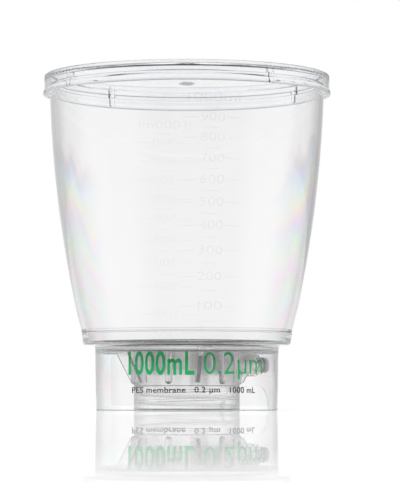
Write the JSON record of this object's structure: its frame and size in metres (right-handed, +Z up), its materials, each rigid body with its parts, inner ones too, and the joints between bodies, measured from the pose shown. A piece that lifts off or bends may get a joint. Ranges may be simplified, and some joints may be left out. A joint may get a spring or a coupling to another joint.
{
  "type": "vacuum filtration unit",
  "caption": "Clear bottle-top vacuum filter: flared graduated funnel with loose lid, flat membrane and threaded skirted base with hose port.",
  "frame": {"origin": "on the unit's axis, in the plane of the skirt's lower edge, which it stands on", "axes": "+Z up the axis towards the lid; -Y is the printed front of the skirt; the vacuum port is 130.8 degrees round from -Y towards +X"},
  "size_m": [0.1342, 0.1342, 0.1558],
  "materials": {
    "clear_base": "clear polystyrene, polished, with a frosted label panel and screen print on the skirt",
    "clear_funnel": "clear polystyrene, polished, with raised graduations",
    "clear_lid": "clear polystyrene, polished",
    "clear_grid": "clear polystyrene, as moulded",
    "filter_membrane": "white porous polyethersulfone film, matte",
    "seal_rubber": "pale translucent elastomer, matte",
    "natural_plastic": "natural polypropylene, slightly milky",
    "porous_plug": "grey sintered porous plastic"
  },
  "bodies": {
    "unit": {"base_housing": "clear_base", "neck_seal": "seal_rubber", "hose_barb": "natural_plastic", "port_plug": "porous_plug", "support_grid": "clear_grid", "membrane": "filter_membrane", "funnel": "clear_funnel"},
    "cover": {"lid": "clear_lid"}
  },
  "joints": [
    {"name": "lid_lift", "type": "slide", "parent": "unit", "child": "cover", "axis": [0, 0, 1], "range_m": [0, 0.06]}
  ]
}
